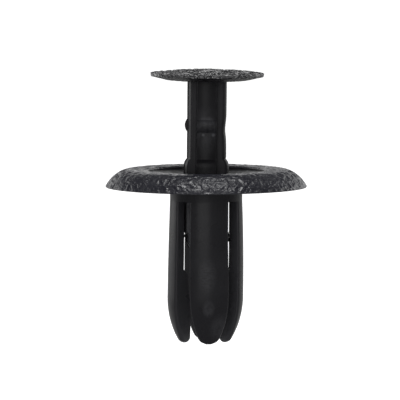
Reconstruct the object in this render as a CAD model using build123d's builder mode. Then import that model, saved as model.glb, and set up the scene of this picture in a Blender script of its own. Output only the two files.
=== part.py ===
from build123d import *
from math import asin, cos, degrees, hypot, radians, sin, sqrt, tan
import os

# A push rivet that clips a wheel-arch liner to a body panel, in two moulded pieces.
# The grommet is the outer piece: a crowned flange, a short collar and four sprung legs.
# The push pin slides down inside it, and its wide lower shank spreads the legs behind the panel.
# It is drawn as supplied, with the pin pulled out. Lengths are in millimetres and angles in degrees.
# The origin is on the axis in the plane of the flange's rim, and +Z runs up to the pin's head.

# Flange of the grommet
flange_dia = 17.3
rim_edge = 0.06
crown_height = 1.5
shoulder_run = 0.99
shoulder_height = 1.15
shoulder_bow = 0.09
lip_drop = 0.06
lip_round = 0.12
crest_run = 0.95
rim_land = 0.9
relief_depth = 0.15
relief_slope = 0.45
root_round = 0.2

# Collar and legs of the grommet
shank_dia = 6.24
bulge_dia = 6.5
collar_length = 1.16
leg_length = 13.5
bulge_depth = 9.5
leg_bow = 0.045
nose_radius = 7.4
toe_wall = 0.826
toe_round = 0.65
heel_round = 0.45
leg_bore_dia = 4.5
tip_bore_dia = 2.5
ramp_depth = 7.06
ramp_height = 3.9
ledge_dia = 3.5
ledge_height = 0.45
slot_width = 1.41
slot_count = 2
leg_turn = 4.3

# Push pin
travel = 8.2
head_dia = 9.8
head_edge = 0.28
head_dome = 0.31
head_cone_angle = 13.6
head_knee_dia = 6.9
head_foot_angle = 2.9
pin_shank_dia = 3.36
pin_arm_width = 1.66
pin_root_round = 0.15
spreader_dia = 3.9
spreader_length = 5.75
flare_height = 0.6
lead_dia = 3.56
lead_length = 1.4
lead_taper = 0.15
tip_taper = 0.45
pin_tip_dia = 2.9
detent_drop = 4.33
detent_length = 1.1
detent_height = 0.2
detent_arms = (90, 180, 270)
barb_reach = 2.12
barb_height = 0.95
barb_land = 0.25

# Clearances between the two pieces
recess_gap = 0.15
dish_gap = 0.05
guide_gap = 0.1
catch_gap = 0.08
catch_height = 0.15
catch_ramp = 0.12

flange_r = flange_dia / 2
shank_r = shank_dia / 2
bulge_r = bulge_dia / 2
leg_bore_r = leg_bore_dia / 2
tip_bore_r = tip_bore_dia / 2
ledge_r = ledge_dia / 2
toe_r = tip_bore_r + toe_wall
head_r = head_dia / 2
head_knee_r = head_knee_dia / 2
pin_shank_r = pin_shank_dia / 2
spreader_r = spreader_dia / 2
lead_r = lead_dia / 2
pin_tip_r = pin_tip_dia / 2
guide_r = spreader_r + guide_gap
recess_r = head_r + recess_gap

# The head ends flush with the lip when the pin is home, and the pin's tip ends level with the legs.
lip_z = crown_height - lip_drop
head_rim_top = lip_z + travel + head_edge / 2
head_rim_bottom = head_rim_top - head_edge
head_top = head_rim_top + head_dome
cone_drop = (head_r - head_knee_r) * tan(radians(head_cone_angle))
foot_fall = tan(radians(head_foot_angle))
head_knee_z = head_rim_bottom - cone_drop
head_root_z = head_knee_z - (head_knee_r - pin_shank_r) * foot_fall
tip_z = travel - leg_length
lead_top = tip_z + lead_length
spreader_top = lead_top + spreader_length
flare_top = spreader_top + flare_height
barb_top = tip_z + barb_height
detent_z = head_rim_top - head_edge / 2 - detent_drop

# The dish in the flange follows the underside of the head, a small gap below it.
dish_rim_z = head_rim_bottom - travel - dish_gap
dish_knee_z = dish_rim_z - cone_drop
dish_floor_z = dish_knee_z - (head_knee_r - guide_r) * foot_fall
catch_z = barb_top + catch_gap


def outer_profile():
    """The grommet's outside from the rim down its underside, collar and leg to the toe."""
    land_r = flange_r - rim_land
    relief_r = land_r - relief_slope
    Polyline(
        (flange_r, 0),
        (land_r, 0),
        (relief_r, relief_depth),
        (shank_r, relief_depth),
        (shank_r, -collar_length),
    )
    waist = ((shank_r + bulge_r) / 2 + leg_bow, -(collar_length + bulge_depth) / 2)
    ThreePointArc((shank_r, -collar_length), waist, (bulge_r, -bulge_depth))
    RadiusArc((bulge_r, -bulge_depth), (toe_r, -leg_length), nose_radius)


def inner_profile():
    """The grommet's inside from the toe up the ramp, ledge, catch, guide bore and dish to the lip."""
    catch_top = catch_z + catch_height
    step_z = -collar_length
    Polyline(
        (toe_r, -leg_length),
        (tip_bore_r, -leg_length),
        (tip_bore_r, -ramp_depth - ramp_height),
        (ledge_r, -ramp_depth - ledge_height),
        (leg_bore_r, -ramp_depth),
        (leg_bore_r, catch_z),
        (guide_r, catch_z),
        (guide_r, catch_top),
        (leg_bore_r, catch_top + catch_ramp),
        (leg_bore_r, step_z),
        (guide_r, step_z + (leg_bore_r - guide_r)),
        (guide_r, dish_floor_z),
        (head_knee_r, dish_knee_z),
        (recess_r, dish_rim_z),
        (recess_r, lip_z),
    )


def crown_profile():
    """The grained ring on top, from the lip over the crest and the shoulder to the rim."""
    shoulder_r = flange_r - shoulder_run
    crest_r = shoulder_r - crest_run
    Line((recess_r, lip_z), (crest_r, crown_height))
    chord = hypot(shoulder_run, shoulder_height - rim_edge)
    out_r = (shoulder_height - rim_edge) / chord * shoulder_bow
    out_z = shoulder_run / chord * shoulder_bow
    bow = (flange_r - shoulder_run / 2 + out_r, (rim_edge + shoulder_height) / 2 + out_z)
    slope = ThreePointArc((flange_r, rim_edge), bow, (shoulder_r, shoulder_height))
    TangentArc((shoulder_r, shoulder_height), (crest_r, crown_height), tangent=slope % 1)
    Line((flange_r, rim_edge), (flange_r, 0))


def upright(azimuth):
    """The plane that stands on the axis and runs out along an azimuth, for a profile of radius and height."""
    way = radians(azimuth)
    return Plane((0, 0, 0), x_dir=(cos(way), sin(way), 0), z_dir=(sin(way), -cos(way), 0))


def round_corner(sketch, r, z, radius):
    """Rounds the one corner of a profile that lies at radius r and height z."""
    fillet(sketch.vertices().sort_by_distance((r, z, 0))[0], radius)


with BuildPart() as grommet:
    with BuildSketch(Plane.XZ) as section:
        with BuildLine():
            outer_profile()
            inner_profile()
            crown_profile()
        make_face()
        round_corner(section, toe_r, -leg_length, toe_round)
        round_corner(section, tip_bore_r, -leg_length, heel_round)
        round_corner(section, recess_r, lip_z, lip_round)
        round_corner(section, shank_r, relief_depth, root_round)
    revolve(axis=Axis.Z)
    # Slots that cross on the axis part the tube below the collar into legs.
    with BuildSketch(Plane.XY.offset(-collar_length)):
        for turn in range(slot_count):
            angle = leg_turn + (turn + 0.5) * 180 / slot_count
            Rectangle(flange_dia, slot_width, rotation=angle)
    extrude(amount=-leg_length, mode=Mode.SUBTRACT)

with BuildPart() as push_pin:
    with BuildSketch(Plane.XZ):
        with BuildLine():
            dome_r = (head_r**2 + head_dome**2) / (2 * head_dome)
            half_r = head_r / 2
            half_z = head_top - dome_r + sqrt(dome_r**2 - half_r**2)
            ThreePointArc((0, head_top), (half_r, half_z), (head_r, head_rim_top))
            Polyline(
                (head_r, head_rim_top),
                (head_r, head_rim_bottom),
                (head_knee_r, head_knee_z),
                (pin_shank_r, head_root_z),
                (pin_shank_r, flare_top),
                (spreader_r, spreader_top),
                (spreader_r, lead_top),
                (lead_r, lead_top - lead_taper),
                (lead_r, tip_z + tip_taper),
                (pin_tip_r, tip_z),
                (0, tip_z),
                (0, head_top),
            )
        make_face()
    revolve(axis=Axis.Z)
    # Four corner channels leave a shank of cross section.
    channel = spreader_dia
    with BuildSketch(Plane.XY.offset(head_root_z)):
        with GridLocations(pin_arm_width + channel, pin_arm_width + channel, 2, 2):
            RectangleRounded(channel, channel, pin_root_round)
    extrude(amount=-(head_root_z - tip_z), mode=Mode.SUBTRACT)
    # A low rounded bump crosses the foot of each arm but the one towards +X.
    bump_arc = 2 * degrees(asin(pin_arm_width / 2 / (pin_shank_r + detent_height)))
    for arm in detent_arms:
        with BuildSketch(upright(arm - bump_arc / 2)):
            with BuildLine():
                top = (pin_shank_r, detent_z + detent_length / 2)
                crest = (pin_shank_r + detent_height, detent_z)
                bottom = (pin_shank_r, detent_z - detent_length / 2)
                ThreePointArc(top, crest, bottom)
                Polyline(bottom, (pin_shank_r / 2, detent_z), top)
            make_face()
        revolve(axis=Axis.Z, revolution_arc=bump_arc)
    # The arm towards +X ends in the barb that stops the pin from being pulled out.
    barb_arc = 2 * degrees(asin(pin_arm_width / 2 / barb_reach))
    with BuildSketch(upright(-barb_arc / 2)):
        with BuildLine():
            Polyline(
                (pin_tip_r / 2, barb_top),
                (barb_reach, barb_top),
                (barb_reach, barb_top - barb_land),
                (pin_tip_r, tip_z),
                (pin_tip_r / 2, tip_z),
                close=True,
            )
        make_face()
    revolve(axis=Axis.Z, revolution_arc=barb_arc)

grommet.part.label = "grommet"
push_pin.part.label = "push_pin"
os.makedirs("parts", exist_ok=True)
export_step(grommet.part, "parts/grommet.step")
export_step(push_pin.part, "parts/push_pin.step")
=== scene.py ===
# %% [markdown]
# # A two-piece push rivet in black nylon
# A push rivet clips a wheel-arch liner to a car's body panel. The outer moulding is a crowned flange on a
# short collar, with four sprung legs below. The inner moulding is a push pin with a wide thin head. Pushed
# home, the pin spreads the legs behind the panel. Here the pin is pulled out, as the rivet is supplied.
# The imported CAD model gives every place, so each piece below is made in metres in the CAD model's own
# frame: the origin is on the axis, in the plane of the flange's rim, and +Z points to the pin's head.

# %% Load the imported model
from math import asin, atan2, ceil, cos, degrees, exp, hypot, pi, radians, sin, sqrt, tan

import bmesh
import bpy
from mathutils import Matrix, Vector


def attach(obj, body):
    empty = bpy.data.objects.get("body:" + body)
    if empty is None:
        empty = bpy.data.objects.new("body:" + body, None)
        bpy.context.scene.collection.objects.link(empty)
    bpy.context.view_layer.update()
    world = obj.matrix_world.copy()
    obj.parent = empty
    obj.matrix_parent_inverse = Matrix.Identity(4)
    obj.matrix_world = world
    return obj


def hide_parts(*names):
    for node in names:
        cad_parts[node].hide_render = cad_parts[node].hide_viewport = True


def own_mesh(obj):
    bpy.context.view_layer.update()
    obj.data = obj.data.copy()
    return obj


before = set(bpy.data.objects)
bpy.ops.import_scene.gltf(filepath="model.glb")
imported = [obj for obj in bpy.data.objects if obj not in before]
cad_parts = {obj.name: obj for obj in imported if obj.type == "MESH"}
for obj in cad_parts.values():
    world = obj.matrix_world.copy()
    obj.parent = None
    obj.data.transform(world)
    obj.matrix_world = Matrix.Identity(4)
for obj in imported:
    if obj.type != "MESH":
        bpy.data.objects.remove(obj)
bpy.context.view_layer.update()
MM = 0.001

# %% [markdown]
# ## The sizes
# The looks have to fit the CAD solids to a hair, so the sizes that the looks need are written once here, in
# millimetres. The other way, reading every size from the CAD meshes, would need code that is longer than the
# numbers.

# %% Sizes in millimetres
FLANGE_R, CROWN, LIP_Z, RECESS_R = 8.65, 1.5, 1.44, 5.05
RIM_EDGE_Z, SHOULDER, SLOPE_MIDDLE, CREST_R, LIP_ROUND = 0.06, (7.66, 1.15), (8.2216, 0.6655), 6.71, 0.12
DISH_RIM_Z, DISH_KNEE_Z, DISH_FLOOR_Z, GUIDE_R = 1.25, 0.9, 0.829, 2.05
RIM_LAND, RELIEF_DEPTH, RELIEF_SLOPE = 0.9, 0.15, 0.45
SHANK_R, BULGE_R, LEG_BOW, COLLAR_Z, BULGE_Z, LEG_Z = 3.12, 3.25, 0.045, -1.16, -9.5, -13.5
NOSE_R, TOE_ROUND, HEEL_ROUND = 7.4, 0.65, 0.45
LEG_BORE_R, LEDGE_R, TIP_BORE_R = 2.25, 1.75, 1.25
CATCH_END_Z, CATCH_TOP_Z, CATCH_FOOT_Z = -4.0, -4.12, -4.27
RAMP_TOP_Z, LEDGE_Z, RAMP_FOOT_Z = -7.06, -7.51, -10.96
SLOT_HALF, LEG_TURN = 0.705, 4.3
HEAD_R, HEAD_TOP, HEAD_RIM_TOP, HEAD_RIM_FOOT = 4.9, 10.09, 9.78, 9.5
KNEE_R, KNEE_Z, HEAD_ROOT = 3.45, 9.15, 9.06
ARM_R, ARM_HALF, ROOT_ROUND = 1.68, 0.83, 0.15
FLARE_TOP, SPREADER_TOP, SPREADER_R = 2.45, 1.85, 1.95
LEAD_TOP, LEAD_TAPER, LEAD_R, TIP_Z, TIP_TAPER, TIP_R = -3.9, 0.15, 1.78, -5.3, 0.45, 1.45
DETENT_Z, DETENT_LENGTH, DETENT_HEIGHT = 5.31, 1.1, 0.2
BARB_R, BARB_TOP, BARB_LAND = 2.12, -4.35, 0.25

# %% [markdown]
# ## The camera
# The photograph is a product shot from 31 cm, almost level with the flange and a little above it, so the
# crowned ring shows as a thin ellipse and the head nearly edge on. The camera stands there, with a long
# lens. It could be placed by eye, but the distance sets how much the underside of the flange and the leg
# tips open up, so it was worked out from the ellipses that the round edges make.

# %% Camera
CAMERA_X, CAMERA_Y, CAMERA_Z, AIM_Z = -0.53, -311, 24.34, -1.16


def in_scene(name, data):
    """A new object for a mesh, a lamp or a camera, in the scene and at the origin."""
    thing = bpy.data.objects.new(name, data)
    bpy.context.scene.collection.objects.link(thing)
    return thing


camera_data = bpy.data.cameras.new("camera")
camera = in_scene("camera", camera_data)
bpy.context.scene.camera = camera
aim = Vector((CAMERA_X, 0, AIM_Z)) * MM
camera.location = Vector((CAMERA_X, CAMERA_Y, CAMERA_Z)) * MM
camera.rotation_euler = (aim - camera.location).to_track_quat("-Z", "Y").to_euler()
camera_data.sensor_width = 36
camera_data.lens = 325.5
camera_data.clip_start = 0.01
camera_data.clip_end = 10
print("camera looks down by", round(degrees(atan2(CAMERA_Z - AIM_Z, -CAMERA_Y)), 2), "degrees")

# %% [markdown]
# ## Small helpers for node trees
# Shader trees and geometry trees are built in the same way: make a node, set its options, and give each of
# its inputs either a plain value or a link. One helper does all three, which keeps the trees below short.
# Trees could also be drawn by hand and appended from a file, but a script that makes them stands alone.

# %% Node tree helpers
COLOR, NUMBER, VECTOR = "NodeSocketColor", "NodeSocketFloat", "NodeSocketVector"
GEOMETRY, WHOLE, FINISH = "NodeSocketGeometry", "NodeSocketInt", "NodeSocketMaterial"


def add(tree, kind, inputs=None, **options):
    """Adds a node, sets its options, and fills its inputs with values or with links from other nodes."""
    node = tree.nodes.new(kind)
    for name, value in options.items():
        setattr(node, name, value)
    for key, value in (inputs or {}).items():
        if isinstance(value, bpy.types.NodeSocket):
            tree.links.new(value, node.inputs[key])
        else:
            node.inputs[key].default_value = value
    return node


def calc(tree, operation, *values):
    """A Math node on its one to three values, and the socket with its result."""
    return add(tree, "ShaderNodeMath", dict(enumerate(values)), operation=operation).outputs[0]


def vector_calc(tree, operation, *values):
    """A Vector Math node on its vectors, and the socket with its vector result."""
    return add(tree, "ShaderNodeVectorMath", dict(enumerate(values)), operation=operation).outputs[0]


def scaled(tree, vector, factor):
    """A vector times a number."""
    inputs = {"Vector": vector, "Scale": factor}
    return add(tree, "ShaderNodeVectorMath", inputs, operation="SCALE").outputs[0]


def joined(tree, x, y, z):
    """A vector from its three parts."""
    return add(tree, "ShaderNodeCombineXYZ", {"X": x, "Y": y, "Z": z}).outputs[0]


def smooth_range(tree, value, low, high, to_low=0.0, to_high=1.0):
    """Maps a value from one range to another with soft ends."""
    ranges = {"Value": value, "From Min": low, "From Max": high, "To Min": to_low, "To Max": to_high}
    return add(tree, "ShaderNodeMapRange", ranges, interpolation_type="SMOOTHSTEP").outputs["Result"]


def noise(tree, coordinates, size, detail, roughness=0.5):
    """Noise whose blobs are about as large as size, in metres."""
    per_metre = calc(tree, "DIVIDE", 1.0, size)
    settings = {"Vector": coordinates, "Scale": per_metre, "Detail": detail, "Roughness": roughness}
    return add(tree, "ShaderNodeTexNoise", settings).outputs["Fac"]


def swirled(tree, coordinates, scale):
    """A colour of noise over coordinates that are already counted in cells, to bend them with."""
    settings = {"Vector": coordinates, "Scale": scale, "Detail": 2.0}
    return add(tree, "ShaderNodeTexNoise", settings).outputs["Color"]


def cell_edges(tree, coordinates):
    """The distance to the nearest border of Voronoi cells that are about 1 wide."""
    settings = {"Vector": coordinates, "Scale": 1.0}
    return add(tree, "ShaderNodeTexVoronoi", settings, feature="DISTANCE_TO_EDGE").outputs["Distance"]


def group_with(name, kind, inputs, outputs):
    """A new node group with named sockets. Each input has a name, a socket type and a default value."""
    group = bpy.data.node_groups.new(name, kind)
    for label, socket_type, value in inputs:
        socket = group.interface.new_socket(label, in_out="INPUT", socket_type=socket_type)
        if value is not None:
            socket.default_value = value
    for label, socket_type in outputs:
        group.interface.new_socket(label, in_out="OUTPUT", socket_type=socket_type)
    return group, group.nodes.new("NodeGroupInput").outputs, group.nodes.new("NodeGroupOutput").inputs


# %% [markdown]
# ## Light and background
# The rivet was shot in a light tent: a white sheet behind it, soft light from the sides and above, and a
# greyer room in front of it, round the camera. Black plastic shows little of its own colour, so nearly all
# that is seen of it is what it mirrors. The tent is bright low down, most of all at the back, where it draws
# pale rims along the edges. It is darker higher up, so that gentle slopes stay dark, and has a lighter patch
# right above. Panels of paper could make such a tent, but a world colour that depends on the direction does
# it without any in the scene. The camera itself sees plain white behind the rivet.

# %% World
def emptied_tree(owner):
    """The node tree of a world or a material, switched on and emptied."""
    owner.use_nodes = True
    owner.node_tree.nodes.clear()
    return owner.node_tree


world = bpy.data.worlds.new("light tent")
bpy.context.scene.world = world
room = emptied_tree(world)
direction = add(room, "ShaderNodeTexCoord").outputs["Generated"]
way = add(room, "ShaderNodeSeparateXYZ", {"Vector": direction}).outputs
# Each line takes two values of a direction's X, Y or Z, and the strengths of the light at them.
back = smooth_range(room, way["Y"], 0.2, 1.0, 0.6, 1.1)
upper = smooth_range(room, way["Z"], 0.5, 0.27, 0.08, 1.2)
side = smooth_range(room, way["X"], -1.0, 1.0, 0.03, -0.03)
front = smooth_range(room, way["Y"], -0.3, -0.9, 0.0, 0.25)
top = smooth_range(room, way["Z"], 0.6, 1.0, 0.0, 0.5)
sides = calc(room, "ADD", side, front)
tent = calc(room, "ADD", calc(room, "ADD", calc(room, "MULTIPLY", back, upper), sides), top)
seen = add(room, "ShaderNodeLightPath").outputs["Is Camera Ray"]
strength = calc(room, "MAXIMUM", tent, seen)
backdrop = add(room, "ShaderNodeBackground", {"Color": (1, 1, 1, 1), "Strength": strength})
add(room, "ShaderNodeOutputWorld", {"Surface": backdrop.outputs[0]})
bpy.context.scene.view_settings.view_transform = "Standard"
print("world nodes:", len(room.nodes))

# %% [markdown]
# Four soft lamps stand in for the tent's windows. The left one is nearer than the right one, and it draws
# the bright line along the left corner of the pin's shank and the pale band down the left leg. The one
# above brings out the grain on the ring and the head. The broad one in front stands behind the camera, a
# little to its left, and lights the front faces, so that their pale marks show. Point lamps would be
# simpler, but satin faces mirror them as spots, where a window draws a soft band.

# %% Lamps
def soft_lamp(name, place, power, size):
    """A square area lamp that points at the rivet. Its place and size are in metres."""
    data = bpy.data.lights.new(name, "AREA")
    data.energy = power
    data.size = size
    lamp = in_scene(name, data)
    lamp.location = place
    lamp.rotation_euler = (-Vector(place)).to_track_quat("-Z", "Y").to_euler()


soft_lamp("window_left", place=(-0.38, 0.24, 0.03), power=0.38, size=0.25)
soft_lamp("window_right", place=(0.40, 0.26, 0.14), power=0.4, size=0.25)
soft_lamp("window_top", place=(0.01, -0.07, 0.5), power=1.5, size=0.17)
soft_lamp("window_front", place=(-0.06, -0.42, 0.04), power=0.63, size=0.28)

# %% [markdown]
# ## The floor
# The photograph is cut out on white, with no table in sight. The floor is a pale matt sheet 16.5 mm under
# the leg tips, so the soft shadow falls below the picture. It could be left out, but then no light would
# come back up from below. A camera ray gets a little extra light from it, so that it reads as the same
# white as the background.

# %% Floor
FLOOR_Z = -30 * MM
SHEET_HALF, SHEET_GREY, SHEET_GLOW = 1.5, 0.6, 0.85
floor_mesh = bpy.data.meshes.new("floor")
corners = [(x * SHEET_HALF, y * SHEET_HALF, FLOOR_Z) for x, y in ((-1, -1), (1, -1), (1, 1), (-1, 1))]
floor_mesh.from_pydata(corners, [], [(0, 1, 2, 3)])
floor = in_scene("floor", floor_mesh)
sheet_paint = bpy.data.materials.new("pale sheet")
paint = emptied_tree(sheet_paint)
matt = add(paint, "ShaderNodeBsdfDiffuse", {"Color": (SHEET_GREY, SHEET_GREY, SHEET_GREY, 1)})
extra = calc(paint, "MULTIPLY", add(paint, "ShaderNodeLightPath").outputs["Is Camera Ray"], SHEET_GLOW)
glow = add(paint, "ShaderNodeEmission", {"Color": (1, 1, 1, 1), "Strength": extra})
both = add(paint, "ShaderNodeAddShader", {0: matt.outputs[0], 1: glow.outputs[0]})
add(paint, "ShaderNodeOutputMaterial", {"Surface": both.outputs[0]})
floor_mesh.materials.append(sheet_paint)
print("floor at z mm:", FLOOR_Z / MM)

# %% [markdown]
# ## Black nylon
# Both mouldings are the same black nylon. Its colour hardly changes, but its gloss does: the mould was
# spark-eroded, so the skin has a very fine bite, and handling leaves faint cloudy patches and pale specks.
# The grained faces also have creases that are too fine for the mesh. They are the borders of Voronoi cells,
# on coordinates that wander, so that no border runs straight. The walls inside the legs and between the arms
# of the shank get painted fill light: they are painted paler than the outer skin to lift their shade. An
# attribute on the mesh tells where they are.
# All of this could be painted into an image, but an image has one size. A shader group with noise in object
# coordinates works at any size, and one group can serve all the finishes with different numbers.

# %% Shader group for the moulded skin
SPECK_SIZE, PATCH_WEAR, CREASE_WIDTH = 0.00022, 0.15, 0.16
skin, skin_in, skin_out = group_with(
    "moulded skin",
    "ShaderNodeTree",
    [
        ("Base", COLOR, (0.0092, 0.009, 0.0108, 1)),
        # A pale colour, for handling wear and also for painted highlights and painted light.
        ("Worn", COLOR, (0.03, 0.03, 0.033, 1)),
        ("Cloud size", NUMBER, 0.004),
        ("Bite size", NUMBER, 0.0001),
        ("Crease size", NUMBER, 0.0004),
        ("Crease share", NUMBER, 0.0),
        # The next colour is painted fill light, for the walls inside the legs and between the arms, which
        # lie in shade.
        ("Core", COLOR, (0.032, 0.032, 0.0355, 1)),
        # How much of the pale colour the marks lay on: real rubs, and also painted highlights and painted
        # light.
        ("Rubs and light", NUMBER, 0.0),
        ("Speck amount", NUMBER, 0.3),
        ("Roughness low", NUMBER, 0.26),
        ("Roughness high", NUMBER, 0.34),
    ],
    [("Color", COLOR), ("Roughness", NUMBER), ("Height", NUMBER)],
)


def blended(share, first, second):
    """A colour of the skin group that goes from one colour to another as a share goes from 0 to 1."""
    return add(skin, "ShaderNodeMix", {"Factor": share, 6: first, 7: second}, data_type="RGBA").outputs[2]


skin_place = add(skin, "ShaderNodeTexCoord").outputs["Object"]
clouds = noise(skin, skin_place, skin_in["Cloud size"], 3.0, 0.55)
bite = noise(skin, skin_place, skin_in["Bite size"], 2.0, 0.6)
specks = smooth_range(skin, noise(skin, skin_place, SPECK_SIZE, 1.0), 0.7, 0.78)
patch = smooth_range(skin, clouds, 0.4, 0.7)
speckled = calc(skin, "MULTIPLY", calc(skin, "MULTIPLY", specks, patch), skin_in["Speck amount"])
handled = calc(skin, "ADD", speckled, calc(skin, "MULTIPLY", patch, PATCH_WEAR))
# Handling patches and specks are real wear; the marks added to them are partly rubs and partly painted
# highlights and painted light.
wear_and_light = calc(skin, "ADD", skin_in["Rubs and light"], handled)
# Painted fill light: the walls inside, which lie in shade, take the paler colour where the mesh's attribute
# says so.
painted_fill_light = add(skin, "ShaderNodeAttribute", attribute_name="painted_fill_light").outputs["Fac"]
base_with_fill_light = blended(painted_fill_light, skin_in["Base"], skin_in["Core"])
skin.links.new(blended(wear_and_light, base_with_fill_light, skin_in["Worn"]), skin_out["Color"])
rough = smooth_range(skin, clouds, 0.3, 0.7, skin_in["Roughness low"], skin_in["Roughness high"])
skin.links.new(rough, skin_out["Roughness"])
crease_cells = scaled(skin, skin_place, calc(skin, "DIVIDE", 1.0, skin_in["Crease size"]))
strayed = vector_calc(skin, "ADD", crease_cells, swirled(skin, crease_cells, 1.1))
hills = smooth_range(skin, cell_edges(skin, strayed), 0.0, CREASE_WIDTH)
creased = calc(skin, "MULTIPLY", hills, skin_in["Crease share"])
bitten = calc(skin, "MULTIPLY", bite, calc(skin, "SUBTRACT", 1.0, skin_in["Crease share"]))
skin.links.new(calc(skin, "ADD", creased, bitten), skin_out["Height"])
print("skin group nodes:", len(skin.nodes))

# %% [markdown]
# ## Rubs and painted light
# The photographed rivet has been handled, and pale rubs lie on its legs. The same marks also paint light: a
# painted highlight and painted light on the left leg's front edge and slot wall, painted highlights on the
# bump of the pin's front arm, painted light on the middle of the shank, and painted fill light on the pin's
# arms where they show through the slots. A mark is noise in a soft ellipsoid about one place. The noise is
# stretched or squeezed along the axis, which makes strokes that run up and down or across. The marks could
# be painted by hand, but one group that takes a place and a reach can draw them all.

# %% Shader group for one mark of rub or painted light
STROKE_SIZE = 0.0003
scuff, scuff_in, scuff_out = group_with(
    "scuff",
    "ShaderNodeTree",
    [
        ("Place", VECTOR, (0, 0, 0)),
        ("Reach", VECTOR, (0.001, 0.001, 0.001)),
        ("Amount", NUMBER, 0.5),
        ("Streak", NUMBER, 0.3),
    ],
    [("Mask", NUMBER)],
)
spot = add(scuff, "ShaderNodeTexCoord").outputs["Object"]
away = vector_calc(scuff, "SUBTRACT", spot, scuff_in["Place"])
share_out = vector_calc(scuff, "DIVIDE", away, scuff_in["Reach"])
span = add(scuff, "ShaderNodeVectorMath", {0: share_out}, operation="LENGTH").outputs["Value"]
inside = smooth_range(scuff, span, 1.0, 0.35)
drawn = vector_calc(scuff, "MULTIPLY", spot, joined(scuff, 1.0, 1.0, scuff_in["Streak"]))
strokes = smooth_range(scuff, noise(scuff, drawn, STROKE_SIZE, 2.0), 0.3, 0.6, 0.4, 1.0)
mask = calc(scuff, "MULTIPLY", calc(scuff, "MULTIPLY", inside, strokes), scuff_in["Amount"])
scuff.links.new(mask, scuff_out["Mask"])
print("scuff group nodes:", len(scuff.nodes))

# %% [markdown]
# ## The finishes
# One function makes all four finishes: leather on the flange, satin on the legs, a duller satin on the
# pin's shank, and a coarser, glossier leather on the pin's head. They differ only in numbers, so the two
# mouldings look like one plastic. Four separate materials would do as well, but each change to the skin
# would have to be made four times.

# %% Materials
def spaced(values):
    """The same values by the names that sockets have, with spaces."""
    return {label.replace("_", " "): value for label, value in values.items()}


def nylon(name, bump, bite_depth, sheen, scuffs=(), **values):
    """A nylon finish: the skin group's colour, roughness and height on a Principled shader.

    Each mark, a rub or painted light, is a place and a reach in millimetres, an amount, and a streak.
    Below 1 its strokes run along the axis, and above 1 they run across."""
    material = bpy.data.materials.new(name)
    tree = emptied_tree(material)
    group = add(tree, "ShaderNodeGroup", spaced(values), node_tree=skin)
    total = 0.0
    for middle, reach, amount, streak in scuffs:
        where = {"Place": [v * MM for v in middle], "Reach": [v * MM for v in reach]}
        marking = add(tree, "ShaderNodeGroup", {**where, "Amount": amount, "Streak": streak}, node_tree=scuff)
        total = calc(tree, "ADD", total, marking.outputs["Mask"])
    if scuffs:
        tree.links.new(total, group.inputs["Rubs and light"])
    dents = {"Strength": bump, "Distance": bite_depth, "Height": group.outputs["Height"]}
    surface = {
        "Base Color": group.outputs["Color"],
        "Roughness": group.outputs["Roughness"],
        "Normal": add(tree, "ShaderNodeBump", dents).outputs["Normal"],
        "IOR": 1.5,
        "Specular IOR Level": sheen,
    }
    shader = add(tree, "ShaderNodeBsdfPrincipled", surface)
    add(tree, "ShaderNodeOutputMaterial", {"Surface": shader.outputs[0]})
    return material


LEG_RUBS_AND_LIGHT = [
    # A paler patch with strokes across, in the middle of the front leg.
    ((0.1, -3.2, -7.5), (1.0, 1.0, 1.9), 0.6, 2.5),
    # A rub on the front leg's nose.
    ((0.2, -3.2, -10.3), (0.65, 1.0, 0.9), 0.75, 0.8),
    # A paler patch on the right of the front leg's tongue.
    ((1.2, -2.6, -12.0), (1.2, 1.2, 1.6), 0.55, 0.4),
    # Painted light: a painted highlight on the left leg's front edge, and the slot wall beside it painted as
    # if lit.
    ((-2.2, -2.2, -5.5), (0.4, 0.6, 2.2), 0.8, 1.0),
]
PIN_PAINTED_LIGHT = [
    # Painted light: the front of the shank is paler over its middle, for light thrown up onto it from the
    # ring.
    ((0.0, -1.7, 4.9), (1.5, 0.6, 2.5), 0.3, 0.5),
    # Painted highlight on the upper side of the bump on the front arm.
    ((0.05, -1.8, 5.75), (1.0, 0.5, 0.5), 0.45, 1.6),
    # Painted highlights: two bright dots at the lower end of the same bump.
    ((0.62, -1.7, 4.55), (0.22, 0.5, 0.18), 1.6, 1.0),
    ((-0.25, -1.8, 4.55), (0.18, 0.5, 0.15), 1.3, 1.0),
    # Painted fill light on the left and right arms, where they show through the slots between the legs.
    ((-1.75, -0.6, -3.2), (0.9, 0.9, 3.4), 2.0, 1.0),
    ((1.75, -0.6, -3.2), (0.9, 0.9, 3.4), 2.0, 1.0),
]
leather_black = nylon(
    "leather grained nylon", bump=0.8, bite_depth=0.00002, sheen=0.4, Crease_share=0.8, Crease_size=0.0004,
    Base=(0.009, 0.009, 0.014, 1), Worn=(0.04, 0.042, 0.05, 1), Speck_amount=0.8,
    Roughness_low=0.29, Roughness_high=0.37,
)
satin_black = nylon("satin leg nylon", bump=0.25, bite_depth=0.000004, sheen=0.13, scuffs=LEG_RUBS_AND_LIGHT)
pin_black = nylon(
    "satin pin nylon", bump=0.25, bite_depth=0.000004, sheen=0.14, scuffs=PIN_PAINTED_LIGHT,
    # The base colour is painted darker than the other nylon's, as painted shade on the shank; the colour for
    # the walls between the arms is painted fill light.
    Base=(0.004, 0.0038, 0.005, 1), Core=(0.0092, 0.009, 0.0108, 1), Worn=(0.05, 0.05, 0.055, 1),
    Cloud_size=0.003, Speck_amount=0.15, Roughness_low=0.42, Roughness_high=0.5,
)
head_black = nylon(
    "leather grained head nylon", bump=1.0, bite_depth=0.00013, sheen=0.85,
    Crease_share=0.95, Crease_size=0.0008, Base=(0.0085, 0.0085, 0.0105, 1),
    Worn=(0.045, 0.045, 0.047, 1), Speck_amount=0.5, Roughness_low=0.2, Roughness_high=0.28,
)
print("materials:", [m.name for m in bpy.data.materials])

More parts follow.
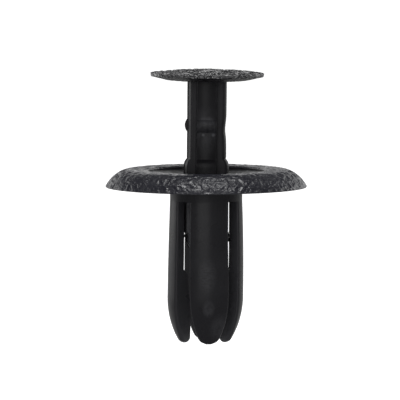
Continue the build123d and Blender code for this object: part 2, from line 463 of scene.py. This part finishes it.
# %% [markdown]
# ## Turned and grained pieces
# The flange and the pin's head are bodies of revolution with a leather grain on top. In the mould the grain
# is etched: pebbles parted by narrow furrows, with finer wrinkles on them. The turning could be done with a
# Screw modifier and the grain with a Displace modifier, but the grain has to fade out at edges and seats.
# Geometry Nodes can do all of it by rule. A flat grid is wrapped round the axis, each row on one point of
# the profile. Then each point is moved along its normal by the grain's height, times the weight that the
# profile carries there. Where that weight is small, the faces take the plain satin finish instead.

# %% Geometry tree that turns a profile and grains it
SATIN_BELOW, PEBBLE_MEAN, WRINKLE_MEAN = 0.3, 0.7, 0.5
turner, turner_in, turner_out = group_with(
    "turned and grained",
    "GeometryNodeTree",
    [
        ("Profile", GEOMETRY, None),
        ("Columns", WHOLE, 360),
        ("Pebble size", NUMBER, 0.0007),
        ("Furrow share", NUMBER, 0.16),
        ("Grain depth", NUMBER, 0.00006),
        ("Wrinkle depth", NUMBER, 0.00003),
        ("Warp", NUMBER, 0.5),
        ("Seed", WHOLE, 1),
        ("Finish", FINISH, None),
        ("Plain finish", FINISH, None),
    ],
    [("Piece", GEOMETRY)],
)


def reshaped(tree, kind, inputs, **options):
    """A node that changes geometry, and the socket with its result."""
    return add(tree, "GeometryNode" + kind, inputs, **options).outputs["Geometry"]


def stored_grain():
    """The grain weight that is stored on the points."""
    node = add(turner, "GeometryNodeInputNamedAttribute", {"Name": "grain"}, data_type="FLOAT")
    return node.outputs["Attribute"]


profile = turner_in["Profile"]
rows = add(turner, "GeometryNodeAttributeDomainSize", {"Geometry": profile}).outputs["Point Count"]
grid_columns = calc(turner, "ADD", turner_in["Columns"], 1)
grid_size = {"Size X": 1.0, "Size Y": 1.0, "Vertices X": grid_columns, "Vertices Y": rows}
grid = add(turner, "GeometryNodeMeshGrid", grid_size).outputs["Mesh"]
index = add(turner, "GeometryNodeInputIndex").outputs[0]
row = calc(turner, "FLOORED_MODULO", index, rows)
column = calc(turner, "FLOOR", calc(turner, "DIVIDE", index, rows))
round_angle = calc(turner, "MULTIPLY", calc(turner, "DIVIDE", column, turner_in["Columns"]), 2 * pi)


def from_profile(value, kind):
    """What the profile's point has, on the row of the grid that belongs to it."""
    inputs = {"Geometry": profile, "Value": value, "Index": row}
    return add(turner, "GeometryNodeSampleIndex", inputs, data_type=kind).outputs["Value"]


profile_place = from_profile(add(turner, "GeometryNodeInputPosition").outputs[0], "FLOAT_VECTOR")
along = add(turner, "ShaderNodeSeparateXYZ", {"Vector": profile_place}).outputs
wrapped_x = calc(turner, "MULTIPLY", along["X"], calc(turner, "COSINE", round_angle))
wrapped_y = calc(turner, "MULTIPLY", along["X"], calc(turner, "SINE", round_angle))
wrapped = joined(turner, wrapped_x, wrapped_y, along["Z"])
carried = {"Geometry": grid, "Name": "grain", "Value": from_profile(stored_grain(), "FLOAT")}
carrying = reshaped(turner, "StoreNamedAttribute", carried, data_type="FLOAT", domain="POINT")
turned = reshaped(turner, "SetPosition", {"Geometry": carrying, "Position": wrapped})
closed = reshaped(turner, "MergeByDistance", {"Geometry": turned, "Distance": 1e-7})

surface_place = add(turner, "GeometryNodeInputPosition").outputs[0]
seed_shift = scaled(turner, (13.1, 7.7, 3.3), turner_in["Seed"])
per_pebble = calc(turner, "DIVIDE", 1.0, turner_in["Pebble size"])
cell_place = vector_calc(turner, "ADD", scaled(turner, surface_place, per_pebble), seed_shift)
swirl = vector_calc(turner, "SUBTRACT", swirled(turner, cell_place, 0.9), (0.5, 0.5, 0.5))
bent = scaled(turner, scaled(turner, swirl, turner_in["Warp"]), 2.0)
warped = vector_calc(turner, "ADD", cell_place, bent)
pebble = smooth_range(turner, cell_edges(turner, warped), 0.0, turner_in["Furrow share"])
wrinkle_settings = {"Vector": warped, "Scale": 3.2, "Detail": 3.0, "Roughness": 0.6}
wrinkles = add(turner, "ShaderNodeTexNoise", wrinkle_settings).outputs["Fac"]
# The mean heights are taken off, so that the grained faces keep the size of the profile.
pebble_share = calc(turner, "SUBTRACT", pebble, PEBBLE_MEAN)
furrows = calc(turner, "MULTIPLY", pebble_share, turner_in["Grain depth"])
wrinkle_share = calc(turner, "SUBTRACT", wrinkles, WRINKLE_MEAN)
fine = calc(turner, "MULTIPLY", wrinkle_share, turner_in["Wrinkle depth"])
weight = stored_grain()
push = calc(turner, "MULTIPLY", calc(turner, "ADD", furrows, fine), weight)
outwards = add(turner, "GeometryNodeInputNormal").outputs[0]
grained = reshaped(turner, "SetPosition", {"Geometry": closed, "Offset": scaled(turner, outwards, push)})
whole = reshaped(turner, "RealizeInstances", {"Geometry": grained})
coated = reshaped(turner, "SetMaterial", {"Geometry": whole, "Material": turner_in["Finish"]})
bare = calc(turner, "LESS_THAN", weight, SATIN_BELOW)
satin_part = {"Geometry": coated, "Selection": bare, "Material": turner_in["Plain finish"]}
turner.links.new(reshaped(turner, "SetMaterial", satin_part), turner_out["Piece"])
print("turning tree nodes:", len(turner.nodes))


# %% Helpers that bake a tree into a plain mesh
def set_inputs(modifier, values):
    """Gives a Geometry Nodes modifier its values by the names of the tree's inputs."""
    for item in modifier.node_group.interface.items_tree:
        if item.item_type == "SOCKET" and item.in_out == "INPUT" and item.name in values:
            modifier[item.identifier] = values[item.name]


def bake(source, name, tree, **values):
    """Sends an object through a tree and makes the result a plain mesh of its own, without the source."""
    modifier = source.modifiers.new(tree.name, "NODES")
    modifier.node_group = tree
    set_inputs(modifier, spaced(values))
    bpy.context.view_layer.update()
    graph = bpy.context.evaluated_depsgraph_get()
    mesh = bpy.data.meshes.new_from_object(source.evaluated_get(graph))
    bpy.data.objects.remove(source)
    return in_scene(name, mesh)


def finish_surface(piece, sharp_angle):
    """Turns all faces outwards, smooths them, and keeps edges sharper than the angle crisp."""
    shape = bmesh.new()
    shape.from_mesh(piece.data)
    bmesh.ops.recalc_face_normals(shape, faces=shape.faces)
    for face in shape.faces:
        face.smooth = True
    for line in shape.edges:
        line.smooth = len(line.link_faces) == 2 and line.calc_face_angle() < radians(sharp_angle)
    volume = shape.calc_volume(signed=True)
    shape.to_mesh(piece.data)
    shape.free()
    triangles = sum(len(p.vertices) - 2 for p in piece.data.polygons)
    print(piece.name, "triangles:", triangles, "volume mm3:", round(volume / MM**3, 1))
    return piece


def turned_piece(name, points, columns, material, plain, **grain):
    """Turns a profile of (radius, height, grain weight) in millimetres into a grained piece."""
    mesh = bpy.data.meshes.new(name + "_profile")
    mesh.from_pydata([(r * MM, 0, z * MM) for r, z, _ in points], [], [])
    mesh.attributes.new("grain", "FLOAT", "POINT").data.foreach_set("value", [w for _, _, w in points])
    source = in_scene(name + "_profile", mesh)
    piece = bake(source, name, turner, Columns=columns, Finish=material, Plain_finish=plain, **grain)
    return finish_surface(piece, sharp_angle=50)


# %% [markdown]
# ## Drawing profiles
# A profile is a list of corner points. Two helpers make smooth ones from it: one rounds a corner with an
# arc, and one adds points so that no step is longer than a given length, because the grain can only show
# where there are points to move. A Bezier curve could be sampled too, but rounded corners follow the CAD
# profile.

# %% Profile helpers
def spread(first, last, steps):
    """Evenly spaced numbers from first to last."""
    return [first + (last - first) * k / steps for k in range(steps + 1)]


def around(centre, radius, angles):
    """Points on a circle, at the given angles."""
    return [(centre[0] + radius * cos(a), centre[1] + radius * sin(a)) for a in angles]


def arc(centre, start, end, steps):
    """Points on the shorter arc about a centre, from start to end, both included."""
    spoke, last = Vector(start) - Vector(centre), Vector(end) - Vector(centre)
    first = atan2(spoke.y, spoke.x)
    sweep = (atan2(last.y, last.x) - first + pi) % (2 * pi) - pi
    return around(centre, spoke.length, [first + sweep * k / steps for k in range(steps + 1)])


def rounded(points, radii, steps=6):
    """A path through points, each corner rounded by its radius. The two ends stay sharp."""
    path = [points[0]]
    for before, corner, after, radius in zip(points, points[1:], points[2:], radii):
        if not radius:
            path.append(corner)
            continue
        a, b, c = Vector(before), Vector(corner), Vector(after)
        u, v = (a - b).normalized(), (c - b).normalized()
        half = u.angle(v) / 2
        reach = radius / tan(half)
        centre = b + (u + v).normalized() * radius / sin(half)
        path += arc(centre, b + u * reach, b + v * reach, steps)
    path.append(points[-1])
    return path


def dense(points, step):
    """The same path with no step longer than a length."""
    path = [points[0]]
    for a, b in zip(points, points[1:]):
        parts = max(1, ceil(hypot(b[0] - a[0], b[1] - a[1]) / step))
        for k in range(1, parts + 1):
            path.append(tuple(a[i] + (b[i] - a[i]) * k / parts for i in range(len(a))))
    return path


def arc_centre(a, b, c):
    """The centre of the circle through three points."""
    (ax, ay), (bx, by), (cx, cy) = a, b, c
    d = 2 * (ax * (by - cy) + bx * (cy - ay) + cx * (ay - by))
    a2, b2, c2 = ax * ax + ay * ay, bx * bx + by * by, cx * cx + cy * cy
    x = (a2 * (by - cy) + b2 * (cy - ay) + c2 * (ay - by)) / d
    y = (a2 * (cx - bx) + b2 * (ax - cx) + c2 * (bx - ax)) / d
    return x, y


def weighted(points, weight):
    """The same points, each with a grain weight."""
    return [(r, z, weight) for r, z in points]


# %% [markdown]
# ## The flange and collar
# The ring is steep at the rim, bends over at a shoulder and runs nearly level to the lip of the recess.
# Inside lies a shallow dish for the head of the pin, and a guide bore through the collar. The grain covers
# the ring, thins out over the lip and in the dish, and stops where parts seat or slide. The recess could be
# cut out with a Boolean modifier. A profile that is one closed line is simpler, and it gives a closed shell
# with even faces for the grain to move.

# %% Flange and collar
GRAIN_STEP, DISH_STEP, BORE_STEP, UNDER_STEP = 0.06, 0.08, 0.4, 0.3
RING_GRAIN, LIP_GRAIN, EDGE_GRAIN, DISH_GRAIN, NO_GRAIN = 1.0, 0.6, 0.3, 0.25, 0.0
GUIDE_BEVEL = 0.08
rim_edge, crest = (FLANGE_R, RIM_EDGE_Z), (CREST_R, CROWN)
slope_centre = arc_centre(rim_edge, SLOPE_MIDDLE, SHOULDER)
slope = arc(slope_centre, rim_edge, SHOULDER, 12)
# The arc over the shoulder goes on in the slope's direction, so its centre lies on the same spoke.
inwards = (Vector(slope_centre) - Vector(SHOULDER)).normalized()
to_crest = Vector(crest) - Vector(SHOULDER)
over_r = to_crest.length_squared / (2 * to_crest.dot(inwards))
over = arc(tuple(Vector(SHOULDER) + inwards * over_r), SHOULDER, crest, 10)
lip = rounded([crest, (RECESS_R, LIP_Z), (RECESS_R, DISH_RIM_Z)], [LIP_ROUND])
dish = [(RECESS_R, DISH_RIM_Z), (KNEE_R, DISH_KNEE_Z), (GUIDE_R + 0.2, DISH_FLOOR_Z + 0.02)]
bevel = [(GUIDE_R + GUIDE_BEVEL, DISH_FLOOR_Z), (GUIDE_R, DISH_FLOOR_Z - GUIDE_BEVEL)]
bore = dense([(GUIDE_R, DISH_FLOOR_Z - 0.1), (GUIDE_R, COLLAR_Z + 0.15)], BORE_STEP)
collar_end = dense([(LEG_BORE_R, COLLAR_Z), (SHANK_R, COLLAR_Z)], UNDER_STEP)
foot_r = FLANGE_R - RIM_LAND
relief = [(SHANK_R, RELIEF_DEPTH), (foot_r - RELIEF_SLOPE, RELIEF_DEPTH), (foot_r, 0)]
under = rounded([(SHANK_R, COLLAR_Z), *relief, (FLANGE_R, 0)], [0.2, 0.1, 0.1])
flange_line = (
    weighted(dense(slope + over[1:-3], GRAIN_STEP), RING_GRAIN)
    + weighted(dense(over[-3:] + lip[1:5], GRAIN_STEP), LIP_GRAIN)
    + weighted(lip[5:-1], EDGE_GRAIN)
    + weighted(dense(dish, DISH_STEP), DISH_GRAIN)
    + weighted(bevel + bore + collar_end + dense(under[1:], UNDER_STEP), NO_GRAIN)
)
flange_line.append(flange_line[0])
flange = turned_piece(
    "flange", flange_line[::-1], 560, leather_black, satin_black,
    Pebble_size=0.0007, Furrow_share=0.26, Grain_depth=0.00006, Wrinkle_depth=0.00002, Seed=4,
)
print("flange profile points:", len(flange_line))

# %% [markdown]
# ## The sprung legs
# Below the collar two crossing slots part the tube into four legs. Each leg is a quarter tube with rounded
# edges, and its nose curves in to a tongue. A bevel on a cut tube would do for straight edges, but here the
# wall gets thinner towards the toe and the edges stay soft all the way round it. So the blank is made from
# level sections: each one is worked out from the outer and inner radius at its height, with its four corners
# rounded, and the sections are joined by quads. Each point of a section also carries a number for painted
# fill light. It tells the material how far the wall has turned from the outer skin to the inside, where the
# wall lies in shade.

# %% Section of a leg
OUTER_STEPS, EDGE_STEPS, FLANK_STEPS, HEEL_STEPS, INNER_STEPS = 12, 6, 6, 4, 6


def toe_arc():
    """Centre of the toe's round, and where it leaves the nose's arc."""
    centre_z = LEG_Z + TOE_ROUND
    nose_centre = BULGE_R - NOSE_R
    gap = NOSE_R - TOE_ROUND
    centre_r = nose_centre + sqrt(gap**2 - (BULGE_Z - centre_z) ** 2)
    leave_z = BULGE_Z + (centre_z - BULGE_Z) * NOSE_R / gap
    return centre_r, centre_z, leave_z


TOE_CENTRE_R, TOE_CENTRE_Z, TOE_START_Z = toe_arc()
BORE_TABLE = [
    (COLLAR_Z, LEG_BORE_R), (RAMP_TOP_Z, LEG_BORE_R), (LEDGE_Z, LEDGE_R), (RAMP_FOOT_Z, TIP_BORE_R),
]


def between(value, table):
    """The straight line through a table of (height, radius) pairs, from the top down."""
    for (z0, r0), (z1, r1) in zip(table, table[1:]):
        if z1 <= value <= z0:
            return r0 + (r1 - r0) * (z0 - value) / max(z0 - z1, 1e-9)
    return table[-1][1]


def outer_radius(z):
    """The outside of the leg at a height."""
    if z >= BULGE_Z:
        share = (COLLAR_Z - z) / (COLLAR_Z - BULGE_Z)
        return SHANK_R + (BULGE_R - SHANK_R) * share + 4 * LEG_BOW * share * (1 - share)
    if z >= TOE_START_Z:
        return BULGE_R - NOSE_R + sqrt(NOSE_R**2 - (BULGE_Z - z) ** 2)
    return TOE_CENTRE_R + sqrt(max(0, TOE_ROUND**2 - (TOE_CENTRE_Z - z) ** 2))


def inner_radius(z):
    """The inside of the leg at a height: bore, catch ridge, ledge, ramp and tip bore."""
    if CATCH_FOOT_Z <= z <= CATCH_END_Z:
        slant = (LEG_BORE_R - GUIDE_R) / (CATCH_END_Z - CATCH_TOP_Z)
        return GUIDE_R + max(0, z - CATCH_TOP_Z) * slant
    if z >= RAMP_FOOT_Z:
        return between(z, BORE_TABLE)
    heel = max(0, LEG_Z + HEEL_ROUND - z)
    return TIP_BORE_R + HEEL_ROUND - sqrt(HEEL_ROUND**2 - heel**2)


def leg_section(outer, inner, slot_half, outer_round, inner_round):
    """The outline of a leg that points to +X, from its outer and inner radius. Its sides lie along slots."""
    outer_round = min(outer_round, (outer - inner) * 0.45)
    inner_round = min(inner_round, (outer - inner) * 0.2)
    half, flank = radians(45), radians(135)
    outer_reach, inner_reach = outer - outer_round, inner + inner_round
    outer_turn = half - asin((slot_half + outer_round) / outer_reach)
    inner_turn = half - asin((slot_half + inner_round) / inner_reach)
    edge_centre = (outer_reach * cos(outer_turn), outer_reach * sin(outer_turn))
    heel_centre = (inner_reach * cos(inner_turn), inner_reach * sin(inner_turn))
    points = around((0, 0), outer, spread(0, outer_turn, OUTER_STEPS))
    points += around(edge_centre, outer_round, spread(outer_turn, flank, EDGE_STEPS)[1:])
    corner = around(heel_centre, inner_round, spread(flank, inner_turn + pi, HEEL_STEPS))
    (ax, ay), (bx, by) = points[-1], corner[0]
    points += [(ax + (bx - ax) * s, ay + (by - ay) * s) for s in spread(0, 1, FLANK_STEPS)[1:]]
    points += corner[1:]
    points += around((0, 0), inner, spread(inner_turn, 0, INNER_STEPS)[1:])
    return points + [(x, -y) for x, y in points[-2:0:-1]]


def loft(name, sections, fill_light_values):
    """Joins outlines of equal point counts, given as (height, points), into a closed mesh.

    The last values, one for each point of an outline, set the painted fill light: 0 on the outer skin, 1
    inside."""
    vertices = [(x * MM, y * MM, z * MM) for z, outline in sections for x, y in outline]
    count = len(sections[0][1])
    faces = [tuple(range(count))[::-1]]
    for level in range(len(sections) - 1):
        a, b = level * count, (level + 1) * count
        faces += [(a + k, a + (k + 1) % count, b + (k + 1) % count, b + k) for k in range(count)]
    faces.append(tuple(range(len(vertices) - count, len(vertices))))
    mesh = bpy.data.meshes.new(name)
    mesh.from_pydata(vertices, [], faces)
    stored = mesh.attributes.new("painted_fill_light", "FLOAT", "POINT")
    stored.data.foreach_set("value", list(fill_light_values) * len(sections))
    return mesh


# %% Levels of a leg
HAIR = 0.0005
TONGUE_Z, TONGUE_ROUND = -12.9, 0.4
# The edges of a leg get rounder towards its toe. Its sides stand out a little from those of the CAD leg.
LEG_EDGE, TOE_EDGE_GAIN, GAIN_START_Z, GAIN_RUN, BORE_EDGE, SIDE_GAIN = 0.14, 0.13, -9, 4.2, 0.04, 0.01
# Painted fill light: 0 on the outer skin, 1 on the slot walls and the bore, which lie in shade.
half_fill_light = [0] * (OUTER_STEPS + 1) + spread(0, 1, EDGE_STEPS)[1:]
half_fill_light += [1] * (FLANK_STEPS + HEEL_STEPS + INNER_STEPS)
LEG_FILL_LIGHT = half_fill_light + half_fill_light[-2:0:-1]
toe_start = (outer_radius(TOE_START_Z), TOE_START_Z)
toe_steps = arc((TOE_CENTRE_R, TOE_CENTRE_Z), toe_start, (TOE_CENTRE_R, LEG_Z), 14)
leg_levels = spread(COLLAR_Z, BULGE_Z, 84) + spread(BULGE_Z, TOE_START_Z, 36)[1:]
leg_levels += [z for _, z in toe_steps[1:]]
leg_levels += [CATCH_FOOT_Z - HAIR, CATCH_FOOT_Z + HAIR, CATCH_TOP_Z, CATCH_END_Z]
leg_levels += [RAMP_TOP_Z, LEDGE_Z, RAMP_FOOT_Z, LEG_Z + HEEL_ROUND]
leg_levels = sorted(set(leg_levels), reverse=True)
leg_sections = []
for z in leg_levels:
    outer_round = LEG_EDGE + TOE_EDGE_GAIN * min(1, max(0, (GAIN_START_Z - z) / GAIN_RUN))
    # The end of each leg is rounded off towards its sides, like the tip of a tongue.
    depth = min(1, max(0, TONGUE_Z - z) / (TONGUE_Z - LEG_Z))
    narrowing = TONGUE_ROUND * (1 - sqrt(1 - depth**2))
    slot_half = SLOT_HALF - SIDE_GAIN + narrowing
    outline = leg_section(outer_radius(z), inner_radius(z), slot_half, outer_round, BORE_EDGE)
    leg_sections.append((z, outline))
print("leg sections:", len(leg_sections), "points in each:", len(leg_sections[0][1]))

# %% [markdown]
# The four legs are one shape in four places, so one small tree turns the blank to its azimuth. The same tree
# lays a very shallow ripple on the skin, as a mould's polished faces have, so that the reflections aren't
# ruled straight. It fades out at the collar, where the legs have to meet the flange piece without a step.
# The tree can also bend a piece sideways, little at its root and most at its far end, as thin legs stand.
# An array of instances would be lighter still, but the real legs each bend their own way when the pin goes
# in, and here each one is an object of its own.

# %% Geometry tree that turns a blank, bends it and ripples its skin
FADE_RUN = 0.0012
rippler, rippler_in, rippler_out = group_with(
    "turned and rippled",
    "GeometryNodeTree",
    [
        ("Blank", GEOMETRY, None),
        ("Azimuth", NUMBER, 0.0),
        ("Ripple size", NUMBER, 0.0016),
        ("Ripple height", NUMBER, 0.00002),
        ("Still above", NUMBER, 0.0),
        ("Sway", VECTOR, (0, 0, 0)),
        ("Length", NUMBER, 0.01),
        ("Seed", WHOLE, 1),
        ("Finish", FINISH, None),
    ],
    [("Piece", GEOMETRY)],
)
still_above = rippler_in["Still above"]
azimuth = joined(rippler, 0.0, 0.0, rippler_in["Azimuth"])
standing = reshaped(rippler, "Transform", {"Geometry": rippler_in["Blank"], "Rotation": azimuth})
blank_place = add(rippler, "GeometryNodeInputPosition").outputs[0]
level_z = add(rippler, "ShaderNodeSeparateXYZ", {"Vector": blank_place}).outputs["Z"]
fade = smooth_range(rippler, level_z, still_above, calc(rippler, "SUBTRACT", still_above, FADE_RUN))
ripple_place = vector_calc(
    rippler, "ADD", blank_place, scaled(rippler, (0.0131, 0.0077, 0.0033), rippler_in["Seed"])
)
ripples = noise(rippler, ripple_place, rippler_in["Ripple size"], 2.0)
lift = calc(rippler, "MULTIPLY", calc(rippler, "SUBTRACT", ripples, 0.5), rippler_in["Ripple height"])
skin_normal = add(rippler, "GeometryNodeInputNormal").outputs[0]
below = calc(rippler, "MAXIMUM", calc(rippler, "SUBTRACT", still_above, level_z), 0.0)
bend = calc(rippler, "POWER", calc(rippler, "DIVIDE", below, rippler_in["Length"]), 2.0)
swayed = scaled(rippler, rippler_in["Sway"], bend)
raised = scaled(rippler, skin_normal, calc(rippler, "MULTIPLY", lift, fade))
offset = vector_calc(rippler, "ADD", swayed, raised)
rippled = reshaped(rippler, "SetPosition", {"Geometry": standing, "Offset": offset})
real = reshaped(rippler, "RealizeInstances", {"Geometry": rippled})
finished = reshaped(rippler, "SetMaterial", {"Geometry": real, "Material": rippler_in["Finish"]})
rippler.links.new(finished, rippler_out["Piece"])
print("rippling tree nodes:", len(rippler.nodes))


def rippled_piece(name, sections, fill_light_values, material, **values):
    """Lofts sections into a blank, sends it through the tree and bakes it."""
    source = in_scene(name + "_blank", loft(name + "_blank", sections, fill_light_values))
    return finish_surface(bake(source, name, rippler, Finish=material, **values), sharp_angle=40)


# %% Four legs
# Thin legs never stand quite true. For each one, how far its toe is bent along X in millimetres, and how far
# the leg is turned about the axis in degrees.
SWAYS = {"leg_right": (-0.1, -2.3), "leg_back": (0, 0.5), "leg_left": (-0.2, 2.8), "leg_front": (0.05, 0.8)}
legs = {}
for number, (name, (sway, turn)) in enumerate(SWAYS.items()):
    legs[name] = rippled_piece(
        name, leg_sections, LEG_FILL_LIGHT, satin_black,
        Azimuth=radians(LEG_TURN + 90 * number + turn), Still_above=COLLAR_Z * MM,
        Sway=(sway * MM, 0, 0), Length=(COLLAR_Z - LEG_Z) * MM, Seed=5 + number,
    )

# %% [markdown]
# ## The push pin's shank
# The shank has a cross section of four arms, which saves plastic and cools evenly in the mould. Going down,
# it flares to the wider stretch that spreads the legs and tapers to a lead. Three arms carry a low bump near
# the head, and the arm towards +X ends in a barb. Crossed blocks would do for a plain cross, but every one
# of these is only a change of one arm's radius with height, so the shank is made from level sections as
# well, each one a cross with four radii. The photographed pin isn't quite true either, and the radii copy
# that: its flare starts with a soft bend, and the arm towards +X stands out a hair and has a shallow dent
# halfway down.

# %% Radii of the arms
SHANK_TOP = HEAD_ROOT + 0.1
ARM_GAIN, DENT_DEPTH, DENT_Z, DENT_REACH = 0.04, 0.1, 5.0, 0.75
soft_flare = [(FLARE_TOP, ARM_R), (FLARE_TOP - 0.15, 1.8), (FLARE_TOP - 0.3, 1.89)]
lead = [(LEAD_TOP - LEAD_TAPER, LEAD_R), (TIP_Z + TIP_TAPER, LEAD_R), (TIP_Z, TIP_R)]
shank_table = [(SHANK_TOP, ARM_R), *soft_flare, (SPREADER_TOP, SPREADER_R), (LEAD_TOP, SPREADER_R), *lead]
barb_table = [(BARB_TOP, BARB_R), (BARB_TOP - BARB_LAND, BARB_R), (TIP_Z, TIP_R)]
bump_r = ((DETENT_LENGTH / 2) ** 2 + DETENT_HEIGHT**2) / (2 * DETENT_HEIGHT)


def arm_radius(arm, z, bumped=True):
    """The radius of one arm at a height. Arm 0 points to +X, and the others follow by quarter turns."""
    radius = between(z, shank_table)
    if arm == 0 and z > FLARE_TOP:
        return radius + ARM_GAIN - DENT_DEPTH * exp(-(((z - DENT_Z) / DENT_REACH) ** 2))
    if arm == 0:
        return max(radius, between(z, barb_table)) if z <= BARB_TOP else radius
    if not bumped:
        return radius
    reach = bump_r**2 - (z - DETENT_Z) ** 2
    bump = sqrt(reach) - (bump_r - DETENT_HEIGHT) if reach > 0 else 0
    return radius + max(0, bump)


# %% Sections of the shank
# The mould's two halves meet at the sides of the shank. They are out of line by a hair on the left arm.
EDGE_ROUNDS, PARTING_STEP, LEFT_ARM = (0.3, 0.1, 0.08, 0.04), 0.11, 2
END_STEPS, CORNER_STEPS, SIDE_STEPS, ROOT_STEPS = 8, 7, 3, 3


def half_arm(radius, edge_round):
    """One half of an arm that points to +X, from the middle of its end to its root beside the next arm."""
    reach = radius - edge_round
    swing = asin((ARM_HALF - edge_round) / reach)
    end = around((0, 0), radius, spread(0, swing, END_STEPS)[:-1])
    centre = (reach * cos(swing), reach * sin(swing))
    corner = around(centre, edge_round, spread(swing, pi / 2, CORNER_STEPS))
    root = (ARM_HALF + ROOT_ROUND, ARM_HALF + ROOT_ROUND)
    hollow = around(root, ROOT_ROUND, spread(-pi / 2, -pi * 0.75, ROOT_STEPS))
    start_x, end_x = corner[-1][0], hollow[0][0]
    flank = [(start_x + (end_x - start_x) * s, ARM_HALF) for s in spread(0, 1, SIDE_STEPS)[1:-1]]
    return end + corner + flank + hollow


def cross_section(z):
    """The outline of the cross at a height, each arm with its own edge radius."""
    outline = []
    for arm in range(4):
        first = half_arm(arm_radius(arm, z), EDGE_ROUNDS[arm])
        second = first[1:]
        if arm == LEFT_ARM:
            second = half_arm(arm_radius(arm, z, False) - PARTING_STEP, EDGE_ROUNDS[arm])
        whole_arm = [(x, -y) for x, y in first[::-1]] + second
        c, s = round(cos(arm * pi / 2)), round(sin(arm * pi / 2))
        outline += [(x * c - y * s, x * s + y * c) for x, y in whole_arm[1:]]
    return outline


pin_levels = spread(SHANK_TOP, FLARE_TOP, 66) + spread(FLARE_TOP, SPREADER_TOP, 8)
pin_levels += spread(SPREADER_TOP, LEAD_TOP, 50) + spread(LEAD_TOP, TIP_Z, 14)
pin_levels += spread(DETENT_Z - 0.6, DETENT_Z + 0.6, 24) + [LEAD_TOP - LEAD_TAPER, TIP_Z + TIP_TAPER]
pin_levels += [BARB_TOP + HAIR, BARB_TOP - HAIR, BARB_TOP - BARB_LAND]
pin_levels = sorted(set(round(z, 4) for z in pin_levels), reverse=True)
pin_sections = [(z, cross_section(z)) for z in pin_levels]
# Painted fill light: 0 on the ends of the arms, 1 on their flanks and in the hollows between them.
arm_fill_light = [0] * END_STEPS + spread(0, 1, CORNER_STEPS) + [1] * (SIDE_STEPS + ROOT_STEPS)
PIN_FILL_LIGHT = []
for arm in range(4):
    PIN_FILL_LIGHT += (arm_fill_light[::-1] + (arm_fill_light if arm == LEFT_ARM else arm_fill_light[1:]))[1:]
shank = rippled_piece(
    "pin_shank", pin_sections, PIN_FILL_LIGHT, pin_black, Ripple_size=0.0012, Still_above=HEAD_ROOT * MM, Seed=9
)
print("shank sections:", len(pin_sections), "points in each:", len(pin_sections[0][1]))

# %% [markdown]
# ## The push pin's head
# The head is a thin disc, domed and grained on top and coned below, so that it drops into the dish of the
# flange. A flattened sphere would be quicker, but it has no crisp rim, so the head comes from the same
# turning tree as the flange. The photographed pin leans to the right, as its play in the bore lets it, and
# its head is moulded a little off the shank's axis. The last lines copy that as far as the recess leaves
# room when the pin is home.

# %% Head and lean
LEAN, LEAN_Z, HEAD_OFF, HEAD_LIFT = radians(0.5), 1.4 * MM, 0.02 * MM, 0.03 * MM
HEAD_RIM_GRAIN, CONE_GRAIN, CONE_STEP = 0.4, 0.15, 0.09
rise = HEAD_TOP - HEAD_RIM_TOP
dome_r = (HEAD_R**2 + rise**2) / (2 * rise)
dome = [(r, HEAD_TOP - dome_r + sqrt(dome_r**2 - r * r)) for r in spread(0, HEAD_R, 70)]
head_corners = [(HEAD_R, HEAD_RIM_TOP), (HEAD_R, HEAD_RIM_FOOT), (KNEE_R, KNEE_Z)]
rim = rounded([dome[-2], *head_corners, (ARM_R, HEAD_ROOT)], [0.03, 0.08, 4], 4)
cone = dense(rim[-7:], CONE_STEP)
head_line = (
    weighted(dome[:-2], RING_GRAIN)
    + weighted(dense(rim[:-7], GRAIN_STEP), HEAD_RIM_GRAIN)
    + weighted(cone[:-1], CONE_GRAIN)
    + weighted([(ARM_R, HEAD_ROOT), (0, HEAD_ROOT)], NO_GRAIN)
)
head = turned_piece(
    "pin_head", head_line[::-1], 420, head_black, pin_black,
    Pebble_size=0.0008, Furrow_share=0.35, Grain_depth=0.00013, Wrinkle_depth=0.00005, Seed=8,
)
to_pivot = Matrix.Translation((0, 0, LEAN_Z))
lean = to_pivot @ Matrix.Rotation(LEAN, 4, "Y") @ Matrix.Translation((0, 0, -LEAN_Z))
head.data.transform(Matrix.Translation((HEAD_OFF, 0, HEAD_LIFT)))
for piece in (shank, head):
    piece.data.transform(lean)
head_off_axis = HEAD_OFF + (HEAD_TOP * MM - LEAN_Z) * sin(LEAN)
print("the head's middle is off the axis by mm:", round(head_off_axis / MM, 3))

# %% [markdown]
# ## Moving with the pin
# The flange and the legs belong to the grommet's body, and the head and the shank to the pin's. The CAD legs
# are rigid, but real ones are pushed out by the pin and lean outwards from their roots as it goes in. Here
# they don't: a leg has no body or joint of its own to turn with. The CAD nodes that the pieces stand for are
# hidden.

# %% Bodies of the pieces
for number, leg in enumerate(legs.values()):
    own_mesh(leg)
for piece in (flange, *legs.values()):
    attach(piece, "grommet")
    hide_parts("grommet")
for piece in (head, shank):
    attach(piece, "pin")
    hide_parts("push_pin")
